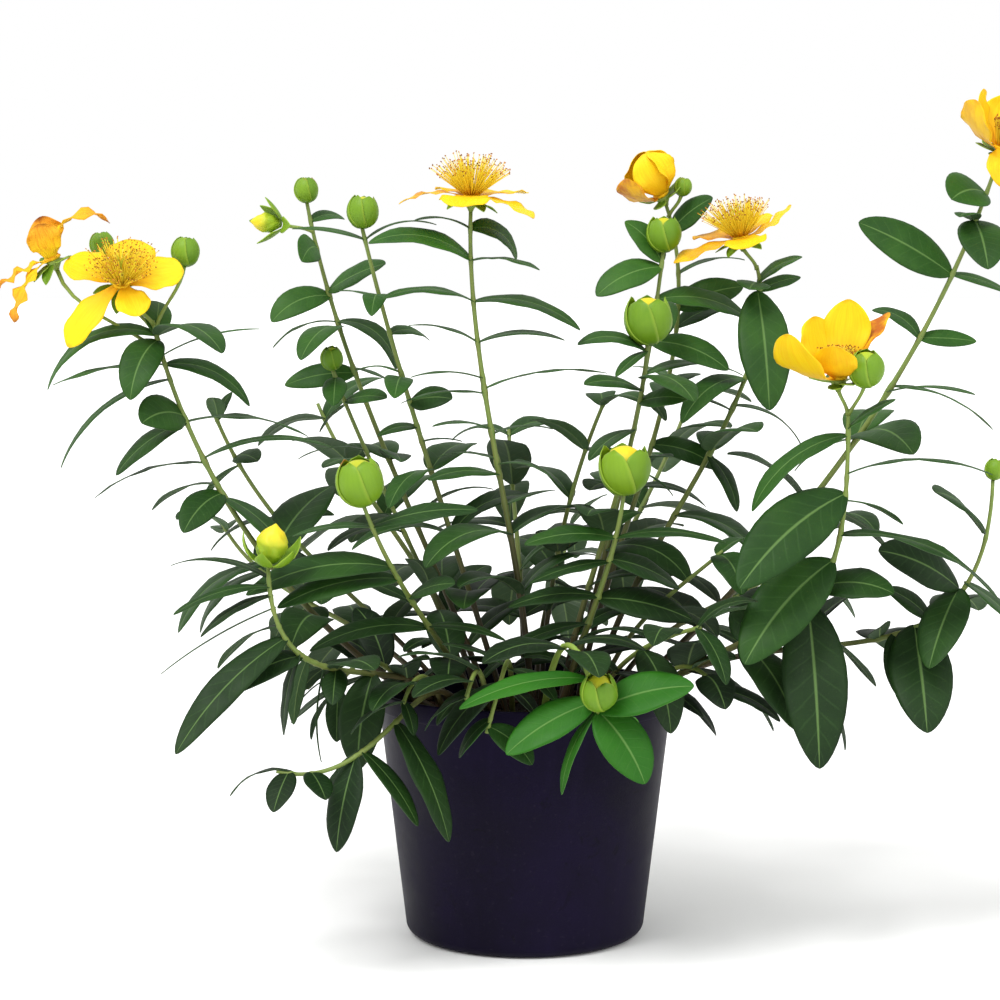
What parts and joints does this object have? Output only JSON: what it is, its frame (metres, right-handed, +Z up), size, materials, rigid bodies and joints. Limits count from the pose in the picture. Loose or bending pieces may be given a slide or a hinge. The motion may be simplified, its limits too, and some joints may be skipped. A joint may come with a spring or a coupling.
{
  "type": "potted aarons beard",
  "caption": "Low leafy garden shrub with open yellow flowers and round green buds, rooted in soil in a dark round nursery pot.",
  "frame": {"origin": "centre of the pot's underside, on the surface that the pot stands on", "axes": "+Z up along the pot's axis; -Y towards the side that the plant is seen from, with its front bud over the rim; +X to the right as seen from there"},
  "size_m": [0.6671, 0.4218, 0.5364],
  "materials": {
    "pot_plastic": "satin",
    "soil": "matte",
    "foliage": "satin",
    "petals": "satin",
    "stamens": "matte",
    "withered_petals": "matte"
  },
  "bodies": {
    "root": {"bloom_cupped_petals": "petals", "bloom_cupped_stamens": "stamens", "bloom_far_left_petals": "petals", "bloom_far_left_stamens": "stamens", "bloom_far_right_petals": "petals", "bloom_far_right_stamens": "stamens", "bloom_front_right_petals": "petals", "bloom_front_right_stamens": "stamens", "bloom_right_petals": "petals", "bloom_right_stamens": "stamens", "bloom_top_petals": "petals", "bloom_top_stamens": "stamens", "bloom_withered": "withered_petals", "bud_opening_front_petals": "petals", "bud_opening_left_petals": "petals", "pot": "pot_plastic", "soil": "soil", "stem_back_left": "foliage", "stem_back_left_low": "foliage", "stem_back_low": "foliage", "stem_back_mid": "foliage", "stem_back_right": "foliage", "stem_back_right_low": "foliage", "stem_centre": "foliage", "stem_far_left": "foliage", "stem_far_right": "foliage", "stem_front_bud": "foliage", "stem_front_left_bud": "foliage", "stem_front_left_short": "foliage", "stem_front_right_bud": "foliage", "stem_front_right_short": "foliage", "stem_inner_right": "foliage", "stem_left_front_bud": "foliage", "stem_left_low": "foliage", "stem_left_mid": "foliage", "stem_left_tall": "foliage", "stem_left_thin": "foliage", "stem_left_trailing": "foliage", "stem_right_arch": "foliage", "stem_right_bud": "foliage", "stem_right_front": "foliage", "stem_right_high": "foliage", "stem_right_low": "foliage", "stem_right_short": "foliage", "stem_right_tall": "foliage", "stem_rim_front": "foliage", "stem_rim_left": "foliage", "stem_rim_middle": "foliage", "stem_rim_right": "foliage"}
  },
  "joints": []
}
